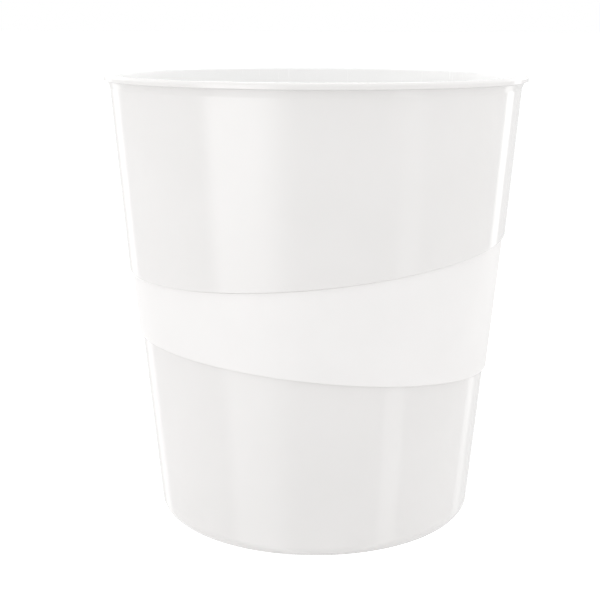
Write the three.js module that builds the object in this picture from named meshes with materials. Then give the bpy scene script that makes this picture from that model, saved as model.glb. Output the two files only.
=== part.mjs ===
// Round office wastebasket in two mouldings: a glossy bin body and a satin wave band around its waist.
// Millimetres. The bin stands on z = 0, the Z axis is its own axis, and its front faces -Y.
import * as THREE from 'three';

// ---------- driving dimensions ----------

const HEIGHT = 310;
const LIP_RADIUS = 145;
const SEGMENTS = 72;

// The wall is made of tiers. Each is a straight taper: its outside radius carried down to z = 0,
// and the radius that it gains for each millimetre of height.
const UPPER_TIER = { foot: 117.0, taper: 0.079 };
const LOWER_TIER = { foot: 111.1, taper: 0.0917 };
const WALL = 2;

// Both edges of the band lie in oblique planes that swing against each other, so the band is deepest
// in the direction WAVE_TURN, counted from +X towards +Y, and narrowest on the opposite side.
const WAVE_TURN = THREE.MathUtils.degToRad(23);
const BAND_TOP = { height: 191, swing: 14 };
const BAND_BOTTOM = { height: 119, swing: -13.7 };
const BAND_PROUD = 1.9;
const BAND_ROUNDING = 0.8;
const FIT_GAP = 0.3;

// Lip: an elliptical bead around the mouth, with a flared underside.
const LIP_CREST_RADIUS = 142;
const LIP_TIP_DROP = 2.3;
const LIP_DEPTH = 3.6;
const LIP_FLARE_START = 6.2;

// Floor and foot ring.
const FOOT_HEIGHT = 2;
const FOOT_RING_WIDTH = 4.5;
const FOOT_RING_DRAFT = 1.2;
const FLOOR = 2.2;
const OUTER_CORNER = 9;
const INNER_CORNER = 6.8;
const GATE_RADIUS = 4;
const GATE_HEIGHT = 0.8;

const SHOULDER_ROUNDING = 0.6;

// ---------- shared geometry ----------

function outsideRadius(tier, z) {
  return tier.foot + tier.taper * z;
}

// Height of one of the band's edges in the direction `angle`.
function edgeHeight(edge, angle) {
  return edge.height + edge.swing * Math.cos(angle - WAVE_TURN);
}

// Points along part of an ellipse in the (radius, height) plane, from one angle in degrees to another.
function arc(centreR, centreZ, semiR, semiZ, fromDegrees, toDegrees, steps) {
  return Array.from({ length: steps + 1 }, (_, step) => {
    const turn = THREE.MathUtils.degToRad(fromDegrees + ((toDegrees - fromDegrees) * step) / steps);
    return [centreR + semiR * Math.cos(turn), centreZ + semiZ * Math.sin(turn)];
  });
}

// A turned solid whose section changes with direction. `sectionAt(angle)` lists [radius, height] points,
// anticlockwise with the radius to the right, and the same number of points in every direction.
function turnedSolid(sectionAt) {
  const outline = sectionAt(0).map(([radius, z]) => new THREE.Vector2(radius, z));
  const geometry = new THREE.LatheGeometry(outline, SEGMENTS);
  const position = geometry.attributes.position;
  for (let segment = 0; segment <= SEGMENTS; segment += 1) {
    const angle = ((segment % SEGMENTS) / SEGMENTS) * 2 * Math.PI;
    sectionAt(angle).forEach(([radius, z], index) => {
      const vertex = segment * outline.length + index;
      position.setXYZ(vertex, radius * Math.cos(angle), radius * Math.sin(angle), z);
    });
  }
  geometry.computeVertexNormals();
  return geometry;
}

// ---------- bin body ----------

// Underside, foot ring and the rounded corner up to the lower wall.
function undersideSection() {
  const wallLean = Math.atan(LOWER_TIER.taper);
  const cornerCentre = outsideRadius(LOWER_TIER, OUTER_CORNER) - OUTER_CORNER / Math.cos(wallLean);
  const ringInside = cornerCentre - FOOT_RING_WIDTH;
  return [
    [0, FOOT_HEIGHT - GATE_HEIGHT],
    [GATE_RADIUS - GATE_HEIGHT / 2, FOOT_HEIGHT - GATE_HEIGHT],
    [GATE_RADIUS, FOOT_HEIGHT],
    [ringInside - FOOT_RING_DRAFT, FOOT_HEIGHT],
    [ringInside, 0],
    ...arc(cornerCentre, OUTER_CORNER, OUTER_CORNER, OUTER_CORNER, -90, -THREE.MathUtils.radToDeg(wallLean), 7),
  ];
}

// The step from the lower tier out to the upper tier, seen from outside: an overhang with a rounded edge.
function shoulderOutside(ledge) {
  const edgeRadius = outsideRadius(UPPER_TIER, ledge + SHOULDER_ROUNDING);
  return [
    [outsideRadius(LOWER_TIER, ledge), ledge],
    ...arc(edgeRadius - SHOULDER_ROUNDING, ledge + SHOULDER_ROUNDING, SHOULDER_ROUNDING, SHOULDER_ROUNDING,
      -90, 0, 3),
  ];
}

// Flared underside of the lip, its rounded tip and crest, and the turn down into the mouth.
function lipSection() {
  const tipHeight = HEIGHT - LIP_TIP_DROP;
  const flareHeight = HEIGHT - LIP_FLARE_START;
  const mouthRadius = outsideRadius(UPPER_TIER, tipHeight) - WALL;
  const overhang = LIP_RADIUS - LIP_CREST_RADIUS;
  const undersideDrop = LIP_DEPTH - LIP_TIP_DROP;
  const flareRadius = outsideRadius(UPPER_TIER, flareHeight);
  const undersideRadius = LIP_RADIUS - undersideDrop;
  return [
    [flareRadius, flareHeight],
    [flareRadius + (undersideRadius - flareRadius) * 0.3, flareHeight + (LIP_FLARE_START - LIP_DEPTH) * 0.6],
    ...arc(undersideRadius, tipHeight, undersideDrop, undersideDrop, -90, -30, 3),
    ...arc(LIP_CREST_RADIUS, tipHeight, overhang, LIP_TIP_DROP, 0, 90, 6),
    ...arc(LIP_CREST_RADIUS, tipHeight, LIP_CREST_RADIUS - mouthRadius, LIP_TIP_DROP, 105, 180, 5),
  ];
}

// Inside of the wall from the mouth down over the shoulder, the rounded corner and the floor.
function insideSection(ledge) {
  const shoulder = ledge + WALL;
  const rounding = SHOULDER_ROUNDING;
  const wallLean = Math.atan(LOWER_TIER.taper);
  const floorHeight = FOOT_HEIGHT + FLOOR;
  const cornerHeight = floorHeight + INNER_CORNER;
  const cornerCentre = outsideRadius(LOWER_TIER, cornerHeight) - WALL - INNER_CORNER / Math.cos(wallLean);
  return [
    [outsideRadius(UPPER_TIER, shoulder + rounding) - WALL, shoulder + rounding],
    [outsideRadius(UPPER_TIER, shoulder) - WALL - rounding, shoulder],
    [outsideRadius(LOWER_TIER, shoulder) - WALL + rounding, shoulder],
    [outsideRadius(LOWER_TIER, shoulder - rounding) - WALL, shoulder - rounding],
    ...arc(cornerCentre, cornerHeight, INNER_CORNER, INNER_CORNER, -THREE.MathUtils.radToDeg(wallLean), -90, 6),
    [0, floorHeight],
  ];
}

function binBodySection(angle) {
  const ledge = edgeHeight(BAND_TOP, angle);
  return [...undersideSection(), ...shoulderOutside(ledge), ...lipSection(), ...insideSection(ledge)];
}

// ---------- wave band ----------

// A ring that fits around the lower tier and stands just under the shoulder.
function waveBandSection(angle) {
  const bottom = edgeHeight(BAND_BOTTOM, angle);
  const top = edgeHeight(BAND_TOP, angle) - FIT_GAP;
  const inside = (z) => outsideRadius(LOWER_TIER, z) + FIT_GAP;
  const outside = (z) => outsideRadius(LOWER_TIER, z) + BAND_PROUD;
  const round = BAND_ROUNDING;
  const section = [
    [inside(bottom), bottom],
    ...arc(outside(bottom + round) - round, bottom + round, round, round, -90, 0, 4),
    ...arc(outside(top - round) - round, top - round, round, round, 0, 90, 4),
    [inside(top), top],
  ];
  return [...section, section[0]];
}

// ---------- assembly ----------

function namedMesh(name, geometry, colour, roughness) {
  const material = new THREE.MeshStandardMaterial({ color: colour, roughness, metalness: 0 });
  const mesh = new THREE.Mesh(geometry, material);
  mesh.name = name;
  return mesh;
}

const wastebasket = new THREE.Group();
wastebasket.add(
  namedMesh('bin_body', turnedSolid(binBodySection), 0xf1f1f0, 0.12),
  namedMesh('wave_band', turnedSolid(waveBandSection), 0xf4f4f3, 0.42),
);

export default wastebasket;
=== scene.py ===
"""The looks of a round office wastebasket: glossy white body, satin wave band, white studio.

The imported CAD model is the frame. Both of its nodes are replaced by finer meshes of the same size, with
tighter edges and a more closely shaped lip. Sections are worked out in millimetres and scaled to metres
when a mesh is made.
"""
import math

import bpy
from mathutils import Matrix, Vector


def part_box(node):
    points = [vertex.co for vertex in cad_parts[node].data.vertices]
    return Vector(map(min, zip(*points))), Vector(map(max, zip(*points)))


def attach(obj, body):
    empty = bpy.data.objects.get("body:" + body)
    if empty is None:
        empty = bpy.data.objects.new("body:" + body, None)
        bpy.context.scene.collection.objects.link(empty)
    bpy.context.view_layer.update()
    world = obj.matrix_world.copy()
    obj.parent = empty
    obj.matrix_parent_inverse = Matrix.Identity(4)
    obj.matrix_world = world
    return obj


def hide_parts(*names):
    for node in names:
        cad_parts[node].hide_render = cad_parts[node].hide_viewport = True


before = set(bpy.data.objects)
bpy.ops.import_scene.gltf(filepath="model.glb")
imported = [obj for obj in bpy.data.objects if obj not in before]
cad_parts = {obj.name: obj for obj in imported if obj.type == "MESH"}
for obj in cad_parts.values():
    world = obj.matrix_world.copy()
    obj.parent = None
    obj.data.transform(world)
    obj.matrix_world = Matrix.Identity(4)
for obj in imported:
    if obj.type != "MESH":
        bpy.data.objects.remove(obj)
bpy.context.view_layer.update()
_, body_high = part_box("bin_body")
band_low, band_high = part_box("wave_band")

MM = 0.001
SEGMENTS = 360

# ---------- driving dimensions, in mm ----------
# They are the CAD model's, except for the edge roundings and the lip, which are finer here.

HEIGHT = body_high.z / MM
LIP_RADIUS = body_high.x / MM
UPPER_TIER = (117.0, 0.079)  # outside radius carried down to z = 0, and growth per mm of height
LOWER_TIER = (111.1, 0.0917)
WALL = 2.0

WAVE_TURN = math.radians(23)
TOP_SWING = 14.0
BOTTOM_SWING = 13.7
FIT_GAP = 0.3
BAND_TOP = band_high.z / MM + FIT_GAP - TOP_SWING
BAND_BOTTOM = band_low.z / MM + BOTTOM_SWING
BAND_PROUD = 1.9
BAND_ROUNDING = 0.4
SHOULDER_ROUNDING = 0.3

# The lip: where its crest is, how far its inside and outside faces reach down, and the flare under it,
# which blends out of the wall on a curve and then leans outwards by so many degrees.
LIP_CREST_RADIUS = 143.4
LIP_INNER_DROP = 2.4
LIP_DEPTH = 4.0
LIP_EDGE_ROUNDING = 0.3
LIP_FLARE_START = 10.0
LIP_FLARE_LEAN = 18
LIP_FLARE_BLEND = 6.0

FOOT_HEIGHT = 2.0
FOOT_RING_WIDTH = 4.5
FOOT_RING_DRAFT = 1.2
FOOT_ROUNDING = 0.4
FLOOR = 2.2
OUTER_CORNER = 9.0
INNER_CORNER = 6.8
GATE_RADIUS = 4.0
GATE_HEIGHT = 0.8

# A ring of points this close to an edge keeps smooth shading from bleeding past it, on a wall and on a
# level face.
WALL_MARGIN = 0.4
FACE_MARGIN = 0.5


# ---------- sections ----------


def outside_radius(tier, z):
    return tier[0] + tier[1] * z


def ledge_height(angle):
    """Height of the shoulder's overhang, which the band's top edge follows."""
    return BAND_TOP + TOP_SWING * math.cos(angle - WAVE_TURN)


def band_bottom_height(angle):
    return BAND_BOTTOM - BOTTOM_SWING * math.cos(angle - WAVE_TURN)


def arc(centre_r, centre_z, semi_r, semi_z, start, end, steps):
    """Points along part of an ellipse, from one angle in degrees to another."""
    turns = [math.radians(start + (end - start) * i / steps) for i in range(steps + 1)]
    return [(centre_r + semi_r * math.cos(t), centre_z + semi_z * math.sin(t)) for t in turns]


def quarter_round(centre_r, centre_z, radius, start, steps):
    """Points along a quarter of a circle, anticlockwise from an angle in degrees."""
    return arc(centre_r, centre_z, radius, radius, start, start + 90, steps)


def wall(radius_at, start, end, steps):
    """Points up or down a straight wall, with one close to each end so that the shading stays even."""
    margin = math.copysign(WALL_MARGIN, end - start)
    first = start + margin
    last = end - margin
    heights = [first + (last - first) * i / steps for i in range(steps + 1)]
    return [(radius_at(z), z) for z in heights]


def lower_outside(z):
    return outside_radius(LOWER_TIER, z)


def upper_outside(z):
    return outside_radius(UPPER_TIER, z)


def lower_inside(z):
    return outside_radius(LOWER_TIER, z) - WALL


def upper_inside(z):
    return outside_radius(UPPER_TIER, z) - WALL


def flat_rings(start, end, z, steps):
    """Rings across a level face, from one radius to another."""
    return [(start + (end - start) * i / steps, z) for i in range(steps + 1)]


def underside_section():
    """From the axis across the gate mark and the raised floor, over the foot ring to the lower wall."""
    lean = math.degrees(math.atan(LOWER_TIER[1]))
    corner = lower_outside(OUTER_CORNER) - OUTER_CORNER / math.cos(math.radians(lean))
    ring_inside = corner - FOOT_RING_WIDTH
    ring_root = ring_inside - FOOT_RING_DRAFT
    rounding = FOOT_ROUNDING
    gate = FOOT_HEIGHT - GATE_HEIGHT
    gate_rounding = GATE_HEIGHT / 2
    return [
        (0, gate),
        (GATE_RADIUS - GATE_HEIGHT, gate),
        *arc(GATE_RADIUS, gate + gate_rounding, gate_rounding, gate_rounding, 180, 90, 3),
        *flat_rings(GATE_RADIUS + 1, ring_root - FACE_MARGIN, FOOT_HEIGHT, 16),
        (ring_root, FOOT_HEIGHT),
        (ring_inside - rounding * 0.6, rounding),
        *arc(ring_inside + rounding * 0.4, rounding, rounding, rounding, 215, 270, 4),
        *arc(corner, OUTER_CORNER, OUTER_CORNER, OUTER_CORNER, -90, -lean, 20),
    ]


def shoulder_outside(ledge):
    """The step outwards from the lower tier and its rounded edge."""
    rounding = SHOULDER_ROUNDING
    edge = upper_outside(ledge + rounding) - rounding
    return [
        (lower_outside(ledge), ledge),
        (lower_outside(ledge) + FACE_MARGIN, ledge),
        *quarter_round(edge, ledge + rounding, rounding, -90, 6),
    ]


def lip_section():
    """The flare out of the upper wall, the lip's lower edge, its outer face and its crest."""
    flare = HEIGHT - LIP_FLARE_START
    bottom = HEIGHT - LIP_DEPTH
    radius = LIP_FLARE_BLEND
    blend = arc(upper_outside(flare) + radius, flare, radius, radius, 180, 180 - LIP_FLARE_LEAN, 5)
    blend_end, blend_top = blend[-1]
    slope = math.tan(math.radians(LIP_FLARE_LEAN))

    def flare_radius(z):
        return blend_end + (z - blend_top) * slope

    edge = LIP_EDGE_ROUNDING
    crest = LIP_RADIUS - LIP_CREST_RADIUS
    return [
        *blend,
        *wall(flare_radius, blend_top + edge, bottom, 6),
        *arc(LIP_RADIUS - edge, bottom + edge, edge, edge, -80, 0, 5),
        *arc(LIP_CREST_RADIUS, HEIGHT - crest, crest, crest, 0, 90, 14),
    ]


def lip_inside():
    """The turn from the crest down into the mouth."""
    lean = math.degrees(math.atan(UPPER_TIER[1]))
    tip = HEIGHT - LIP_INNER_DROP
    width = LIP_CREST_RADIUS - upper_inside(tip)
    return arc(LIP_CREST_RADIUS, tip, width, LIP_INNER_DROP, 96, 180 - lean, 14)


def shoulder_inside(ledge):
    """The same step on the inside of the wall, with both of its edges rounded."""
    shoulder = ledge + WALL
    rounding = SHOULDER_ROUNDING
    outer = upper_inside(shoulder + rounding) - rounding
    inner = lower_inside(shoulder - rounding) + rounding
    return [
        *arc(outer, shoulder + rounding, rounding, rounding, 0, -90, 5),
        *arc(inner, shoulder - rounding, rounding, rounding, 90, 180, 5),
    ]


def inner_floor_section():
    """The rounded corner at the foot of the inside and the floor to the axis."""
    lean = math.degrees(math.atan(LOWER_TIER[1]))
    floor = FOOT_HEIGHT + FLOOR
    height = floor + INNER_CORNER
    corner = lower_inside(height) - INNER_CORNER / math.cos(math.radians(lean))
    return [
        *arc(corner, height, INNER_CORNER, INNER_CORNER, -lean, -90, 14),
        *flat_rings(corner - FACE_MARGIN, 1, floor, 18),
        (0, floor),
    ]


def body_section(angle):
    """(outside points, inside points) of the body in one direction, anticlockwise."""
    ledge = ledge_height(angle)
    shoulder = ledge + WALL
    outside = [
        *underside_section(),
        *wall(lower_outside, OUTER_CORNER, ledge, 30),
        *shoulder_outside(ledge),
        *wall(upper_outside, ledge + SHOULDER_ROUNDING, HEIGHT - LIP_FLARE_START, 24),
        *lip_section(),
    ]
    inside = [
        *lip_inside(),
        *wall(upper_inside, HEIGHT - LIP_INNER_DROP - WALL_MARGIN, shoulder + SHOULDER_ROUNDING, 24),
        *shoulder_inside(ledge),
        *wall(lower_inside, shoulder - SHOULDER_ROUNDING, FOOT_HEIGHT + FLOOR + INNER_CORNER, 30),
        *inner_floor_section(),
    ]
    return outside, inside


def band_section(angle):
    """(outside points, inside points) of the band in one direction. It is one material all round, so they
    are all counted as outside."""
    bottom = band_bottom_height(angle)
    top = ledge_height(angle) - FIT_GAP
    rounding = BAND_ROUNDING
    inner_rounding = FIT_GAP

    def inside(z):
        return lower_outside(z) + FIT_GAP

    def outside(z):
        return lower_outside(z) + BAND_PROUD

    section = [
        *quarter_round(inside(bottom) + inner_rounding, bottom + inner_rounding, inner_rounding, 180, 3),
        *quarter_round(outside(bottom + rounding) - rounding, bottom + rounding, rounding, -90, 8),
        *wall(outside, bottom + rounding, top - rounding, 20),
        *quarter_round(outside(top - rounding) - rounding, top - rounding, rounding, 0, 8),
        *quarter_round(inside(top) + inner_rounding, top - inner_rounding, inner_rounding, 90, 3),
        *wall(inside, top - inner_rounding, bottom + inner_rounding, 20),
    ]
    return section, []


# ---------- meshes ----------


def turned_mesh(name, section_at, closed):
    """A turned solid whose section changes with direction. `section_at(angle)` gives outside points and
    inside points, anticlockwise with the radius to the right, and the inside takes the second material.
    A section that isn't closed on itself starts and ends on the axis."""
    rings = []
    for segment in range(SEGMENTS):
        angle = 2 * math.pi * segment / SEGMENTS
        outside, inside = section_at(angle)
        ring = [(r * math.cos(angle), r * math.sin(angle), z) for r, z in outside + inside]
        rings.append([(x * MM, y * MM, z * MM) for x, y, z in ring])
    count = len(rings[0])
    if closed:
        vertices = [point for ring in rings for point in ring]
        poles = {}
        steps = [(i, (i + 1) % count) for i in range(count)]
    else:
        vertices = [point for ring in rings for point in ring[1:-1]]
        poles = {0: len(vertices), count - 1: len(vertices) + 1}
        vertices += [rings[0][0], rings[0][-1]]
        steps = [(i, i + 1) for i in range(count - 1)]
    ring_size = count - len(poles)
    first = 0 if closed else 1

    def index(segment, i):
        return poles.get(i, (segment % SEGMENTS) * ring_size + i - first)

    faces = []
    materials = []
    for segment in range(SEGMENTS):
        for low, high in steps:
            corners = [
                index(segment, low),
                index(segment + 1, low),
                index(segment + 1, high),
                index(segment, high),
            ]
            # Next to the axis two corners are the same point, and the face is a triangle.
            faces.append(list(dict.fromkeys(corners)))
            materials.append(0 if low < len(outside) else 1)
    mesh = bpy.data.meshes.new(name)
    mesh.from_pydata(vertices, [], faces)
    mesh.polygons.foreach_set("material_index", materials)
    mesh.polygons.foreach_set("use_smooth", [True] * len(faces))
    mesh.validate()
    mesh.update()
    obj = bpy.data.objects.new(name, mesh)
    bpy.context.scene.collection.objects.link(obj)
    return obj


# ---------- materials ----------


def new_material(name):
    material = bpy.data.materials.new(name)
    material.use_nodes = True
    nodes = material.node_tree.nodes
    nodes.clear()
    output = nodes.new("ShaderNodeOutputMaterial")
    shader = nodes.new("ShaderNodeBsdfPrincipled")
    material.node_tree.links.new(shader.outputs["BSDF"], output.inputs["Surface"])
    return material, shader


class Graph:
    """Short ways to add the few kinds of nodes that these materials and the studio are made of."""

    def __init__(self, tree):
        self.tree = tree

    def node(self, kind, inputs=None, **settings):
        node = self.tree.nodes.new(kind)
        for key, value in settings.items():
            setattr(node, key, value)
        for key, value in (inputs or {}).items():
            self.feed(node.inputs[key], value)
        return node

    def feed(self, socket, value):
        if isinstance(value, bpy.types.NodeSocket):
            self.tree.links.new(value, socket)
        else:
            socket.default_value = value

    def math(self, operation, a, b=None, c=None):
        node = self.tree.nodes.new("ShaderNodeMath")
        node.operation = operation
        for socket, value in zip(node.inputs, (a, b, c)):
            if value is not None:
                self.feed(socket, value)
        return node.outputs[0]

    def position(self):
        return self.node("ShaderNodeTexCoord").outputs["Object"]

    def stretched(self, vector, scale):
        return self.node("ShaderNodeMapping", {"Vector": vector, "Scale": scale}).outputs["Vector"]

    def noise(self, vector, scale, detail=2.0, roughness=0.5):
        inputs = {"Vector": vector, "Scale": scale, "Detail": detail, "Roughness": roughness}
        return self.node("ShaderNodeTexNoise", inputs).outputs["Fac"]

    def ramp(self, value, start, end, low=0.0, high=1.0, smooth=True):
        inputs = {"Value": value, "From Min": start, "From Max": end, "To Min": low, "To Max": high}
        kind = "SMOOTHSTEP" if smooth else "LINEAR"
        return self.node("ShaderNodeMapRange", inputs, interpolation_type=kind).outputs["Result"]

    def blend(self, factor, low, high):
        """Between two colours. The Mix node's colour sockets are only told apart by their place."""
        node = self.node("ShaderNodeMix", data_type="RGBA")
        self.feed(node.inputs["Factor"], factor)
        self.feed(node.inputs[6], low)
        self.feed(node.inputs[7], high)
        return node.outputs[2]

    def mix(self, factor, low, high):
        """Between two numbers."""
        node = self.node("ShaderNodeMix", {"Factor": factor, "A": low, "B": high}, data_type="FLOAT")
        return node.outputs["Result"]

    def bump(self, height, distance, strength=1.0, normal=None):
        inputs = {"Height": height, "Distance": distance, "Strength": strength}
        node = self.node("ShaderNodeBump", inputs)
        if normal is not None:
            self.feed(node.inputs["Normal"], normal)
        return node.outputs["Normal"]


def gloss_material():
    """Polished white moulding: faint mottling, orange peel, rubbed lip and scuffed foot."""
    material, shader = new_material("gloss_white")
    graph = Graph(material.node_tree)
    position = graph.position()
    height = graph.node("ShaderNodeSeparateXYZ", {"Vector": position}).outputs["Z"]
    mottle = graph.ramp(graph.noise(position, 16, 3), 0.3, 0.7)
    clean = graph.blend(mottle, (0.868, 0.855, 0.845, 1), (0.883, 0.869, 0.86, 1))
    scuff_noise = graph.noise(graph.stretched(position, (1, 1, 3)), 320, 4, 0.7)
    near_foot = graph.ramp(height, 0.0045, 0.0005)
    scuff = graph.math("MULTIPLY", near_foot, graph.ramp(scuff_noise, 0.42, 0.66))
    graph.feed(shader.inputs["Base Color"], graph.blend(scuff, clean, (0.6, 0.59, 0.57, 1)))
    draw_marks = graph.noise(graph.stretched(position, (260, 260, 5)), 1, 3, 0.6)
    polish = graph.ramp(draw_marks, 0.25, 0.75, 0.07, 0.11)
    near_crest = graph.ramp(height, HEIGHT * MM - 0.0022, HEIGHT * MM - 0.0002)
    rubbed = graph.math("MULTIPLY", near_crest, graph.ramp(scuff_noise, 0.4, 0.7, 0.0, 0.12))
    worn = graph.math("MULTIPLY_ADD", scuff, 0.3, graph.math("ADD", polish, rubbed))
    graph.feed(shader.inputs["Roughness"], worn)
    peel = graph.bump(graph.noise(position, 95, 2, 0.4), 0.00004)
    graph.feed(shader.inputs["Normal"], graph.bump(scuff_noise, 0.000004, 0.5, peel))
    shader.inputs["IOR"].default_value = 1.5
    return material


def inside_material():
    """The inside of the body, from a duller tool face, with draw marks and hairline scratches. Its base
    colour is painted lighter than the outside's, though it is the same plastic: painted light for the
    light inside the bin.
    """
    material, shader = new_material("gloss_white_inside_painted_lighter")
    graph = Graph(material.node_tree)
    position = graph.position()
    mottle = graph.ramp(graph.noise(position, 14, 3), 0.3, 0.7)
    # Painted light: the same plastic as the outside, given a lighter base colour to stand in for the
    # light that fills the mouth.
    colour = graph.blend(mottle, (0.945, 0.944, 0.939, 1), (0.96, 0.959, 0.954, 1))
    graph.feed(shader.inputs["Base Color"], colour)
    draw_marks = graph.noise(graph.stretched(position, (420, 420, 6)), 1, 4, 0.6)
    scratch_noise = graph.noise(graph.stretched(position, (90, 1400, 140)), 1, 2, 0.5)
    scratches = graph.ramp(scratch_noise, 0.62, 0.72)
    dullness = graph.ramp(draw_marks, 0.25, 0.75, 0.2, 0.28)
    graph.feed(shader.inputs["Roughness"], graph.math("MULTIPLY_ADD", scratches, 0.03, dullness))
    peel = graph.bump(graph.noise(position, 110, 2, 0.4), 0.00005)
    graph.feed(shader.inputs["Normal"], graph.bump(draw_marks, 0.00001, 0.4, peel))
    shader.inputs["IOR"].default_value = 1.5
    return material


def satin_material():
    """Fine spark-eroded mould texture on white plastic, with a faint handling sheen."""
    material, shader = new_material("satin_white")
    graph = Graph(material.node_tree)
    position = graph.position()
    mottle = graph.ramp(graph.noise(position, 20, 4), 0.3, 0.7)
    colour = graph.blend(mottle, (0.925, 0.911, 0.903, 1), (0.939, 0.925, 0.917, 1))
    graph.feed(shader.inputs["Base Color"], colour)
    grain = graph.noise(position, 1900, 3, 0.6)
    handling = graph.ramp(graph.noise(position, 34, 3, 0.55), 0.35, 0.7, 0.40, 0.46)
    graph.feed(shader.inputs["Roughness"], handling)
    graph.feed(shader.inputs["Normal"], graph.bump(grain, 0.00003, 0.6))
    shader.inputs["IOR"].default_value = 1.5
    return material


def stage_material(name, colour, glow, glow_near_bin=0.0):
    """A matt grey that glows evenly, and can glow more around the bin's foot."""
    material, shader = new_material(name)
    graph = Graph(material.node_tree)
    shader.inputs["Base Color"].default_value = (colour, colour, colour, 1)
    shader.inputs["Roughness"].default_value = 0.9
    shader.inputs["Emission Color"].default_value = (1, 1, 1, 1)
    length = graph.node("ShaderNodeVectorMath", {"Vector": graph.position()}, operation="LENGTH")
    near = graph.ramp(length.outputs["Value"], TABLE_NEAR_REACH, TABLE_NEAR_FULL, 0.0, glow_near_bin)
    graph.feed(shader.inputs["Emission Strength"], graph.math("ADD", near, glow))
    return material


# ---------- studio ----------


def add_plane(name, z, material):
    """A wide level plane that mirror rays pass through."""
    reach = 60
    mesh = bpy.data.meshes.new(name)
    corners = [(reach * x, reach * y, z) for x, y in ((-1, -1), (1, -1), (1, 1), (-1, 1))]
    mesh.from_pydata(corners, [], [(0, 1, 2, 3)])
    plane = bpy.data.objects.new(name, mesh)
    bpy.context.scene.collection.objects.link(plane)
    mesh.materials.append(material)
    plane.visible_glossy = False
    return plane


def add_floor():
    """A pale glowing floor for the camera, as on a light table, and just under it the table that throws
    light back at the bin. Mirror rays pass both, so that the panels reflect over their full height."""
    floor = add_plane("studio_floor", 0, stage_material("studio_floor", FLOOR_COLOUR, FLOOR_GLOW))
    floor.visible_diffuse = False
    floor.visible_shadow = False
    table_material = stage_material("studio_table", TABLE_COLOUR, TABLE_GLOW, TABLE_GLOW_NEAR)
    table = add_plane("studio_table", -MM, table_material)
    table.visible_camera = False


# The studio is a tent of lit cloth, brightest near the horizon, with a plain backdrop behind the bin and
# a small light high behind it. Below the horizon is what only mirror rays see: a darker table and panels
# that reach down into it. Turns are in degrees from the front (-Y) towards +X, seen from the bin, rises
# are in degrees above the horizon, and a brightness of 1 is white.
TENT = 1.8
TENT_MORE_LEFT = 0.25
TENT_MORE_BACK = 0.73
CEILING = 1.02
CEILING_RISE = 30
BACKDROP = 1.0
BACKDROP_RISE = 18
BACKDROP_SOFTNESS = 5
BACKDROP_EDGE = (145, 160)
HAIR_LIGHT = 2.5
HAIR_LIGHT_RISE = 45
HAIR_LIGHT_HALF_ANGLE = 14
HAIR_LIGHT_SOFTNESS = 4
# Rises between which the table gives way to the tent, low enough for the floor to hide them.
HORIZON_EDGE = (-1.5, -0.2)
# The table seen in reflections: its brightness in front and behind, and the turns that these reach to.
TABLE_FRONT = 0.27
TABLE_BACK = 0.84
TABLE_TURNS = (10, 140)
# The floor that the camera sees, and the light that the table throws back at the bin, with a brighter
# ring round the foot whose reach is in metres from the middle.
FLOOR_COLOUR = 0.5
FLOOR_GLOW = 0.85
TABLE_COLOUR = 0.6
TABLE_GLOW = 0.16
TABLE_GLOW_NEAR = 0.1
TABLE_NEAR_REACH = 0.15
TABLE_NEAR_FULL = 0.11
# name: turns where a panel starts, is full, starts to fade and ends; its brightness at the horizon and
# at the rise PANEL_FOOT. Turns run from -180 to 180, so the glow on the left is cut off straight behind.
PANELS = {
    "key_softbox": (-68, -55, -35, -9, 3.1, 1.0),
    "side_strip": (47, 51, 61, 66, 0, 0.8),
    "back_left_strip": (-153, -150.5, -140, -137.5, 0.6, 0.4),
    "back_right_strip": (128, 130.5, 138, 141, 1.5, 0.15),
    "back_left_glow": (-200, -185, -160, -150, 0.1, 0.1),
}
PANEL_FOOT = -28


def tent_brightness(graph, toward, turn_away, rise):
    """Brightness of the tent, its backdrop and the hair light in the direction `toward`."""
    foot = graph.math("MULTIPLY_ADD", toward["X"], -TENT_MORE_LEFT, TENT)
    foot = graph.math("MULTIPLY_ADD", toward["Y"], TENT_MORE_BACK, foot)
    tent = graph.mix(graph.ramp(rise, 0, CEILING_RISE), foot, CEILING)
    low_enough = graph.ramp(rise, BACKDROP_RISE + BACKDROP_SOFTNESS, BACKDROP_RISE - BACKDROP_SOFTNESS)
    behind = graph.math("MULTIPLY", graph.ramp(turn_away, *BACKDROP_EDGE), low_enough)
    tent = graph.mix(behind, tent, BACKDROP)
    hair_rise = math.radians(HAIR_LIGHT_RISE)
    toward_hair = graph.math("MULTIPLY", toward["Z"], math.sin(hair_rise))
    toward_hair = graph.math("MULTIPLY_ADD", toward["Y"], math.cos(hair_rise), toward_hair)
    hair_edge = math.cos(math.radians(HAIR_LIGHT_HALF_ANGLE + HAIR_LIGHT_SOFTNESS))
    hair_full = math.cos(math.radians(HAIR_LIGHT_HALF_ANGLE - HAIR_LIGHT_SOFTNESS))
    return graph.math("ADD", tent, graph.ramp(toward_hair, hair_edge, hair_full, 0, HAIR_LIGHT))


def table_brightness(graph, turn, turn_away, rise):
    """Brightness of the table and the panels."""
    table = graph.ramp(turn_away, *TABLE_TURNS, TABLE_FRONT, TABLE_BACK)
    for start, full, fade, end, at_horizon, at_foot in PANELS.values():
        panel = graph.math("MULTIPLY", graph.ramp(turn, start, full), graph.ramp(turn, end, fade))
        strength = graph.ramp(rise, PANEL_FOOT, 0, at_foot, at_horizon, smooth=False)
        table = graph.math("MULTIPLY_ADD", panel, strength, table)
    return table


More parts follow.
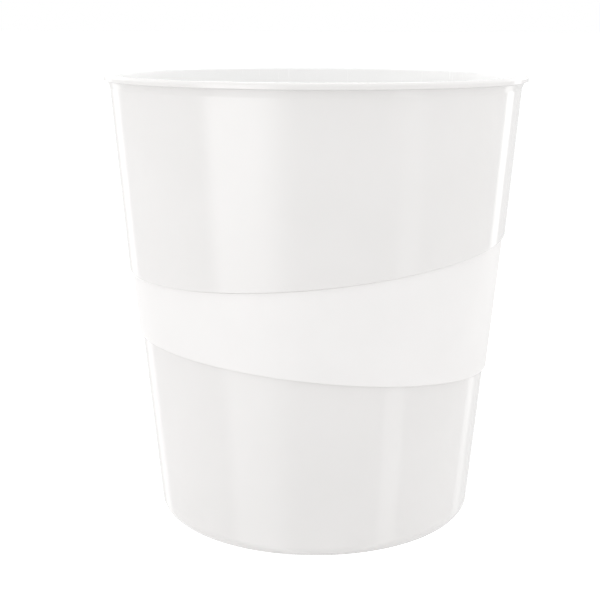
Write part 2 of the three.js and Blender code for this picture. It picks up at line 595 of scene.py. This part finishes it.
def add_studio_light():
    world = bpy.data.worlds.new("studio")
    bpy.context.scene.world = world
    world.use_nodes = True
    world.node_tree.nodes.clear()
    graph = Graph(world.node_tree)
    direction = graph.node("ShaderNodeTexCoord").outputs["Generated"]
    toward = graph.node("ShaderNodeSeparateXYZ", {"Vector": direction}).outputs
    turn = graph.math("ARCTAN2", toward["X"], graph.math("MULTIPLY", toward["Y"], -1))
    turn = graph.math("MULTIPLY", turn, 180 / math.pi)
    turn_away = graph.math("ABSOLUTE", turn)
    rise = graph.math("MULTIPLY", graph.math("ARCSINE", toward["Z"]), 180 / math.pi)
    tent = tent_brightness(graph, toward, turn_away, rise)
    table = table_brightness(graph, turn, turn_away, rise)
    brightness = graph.mix(graph.ramp(rise, *HORIZON_EDGE), table, tent)
    background = graph.node("ShaderNodeBackground", {"Color": (1, 1, 1, 1), "Strength": brightness})
    graph.node("ShaderNodeOutputWorld", {"Surface": background.outputs[0]})


def add_camera():
    """Just above the rim, looking down at the waist, with the bin a little right of the middle."""
    camera = bpy.data.objects.new("camera", bpy.data.cameras.new("camera"))
    bpy.context.scene.collection.objects.link(camera)
    distance = 0.850
    height = 0.3419
    down = math.radians(12.75)
    roll = math.radians(0.22)
    camera.matrix_world = (
        Matrix.Translation((0, -distance, height))
        @ Matrix.Rotation(math.pi / 2 - down, 4, "X")
        @ Matrix.Rotation(roll, 4, "Z")
    )
    camera.data.lens = 72.69
    camera.data.sensor_width = 36
    camera.data.shift_x = -0.0254
    camera.data.clip_start = 0.01
    camera.data.clip_end = 100
    bpy.context.scene.camera = camera


# ---------- the object ----------


def add_body():
    body = turned_mesh("bin_body_moulding", body_section, closed=False)
    body.data.materials.append(gloss_material())
    body.data.materials.append(inside_material())
    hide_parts("bin_body")
    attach(body, "root")


def add_band():
    band = turned_mesh("wave_band_moulding", band_section, closed=True)
    band.data.materials.append(satin_material())
    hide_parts("wave_band")
    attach(band, "root")


add_camera()
add_floor()
add_studio_light()
add_body()
add_band()
bpy.context.scene.view_settings.view_transform = "Standard"
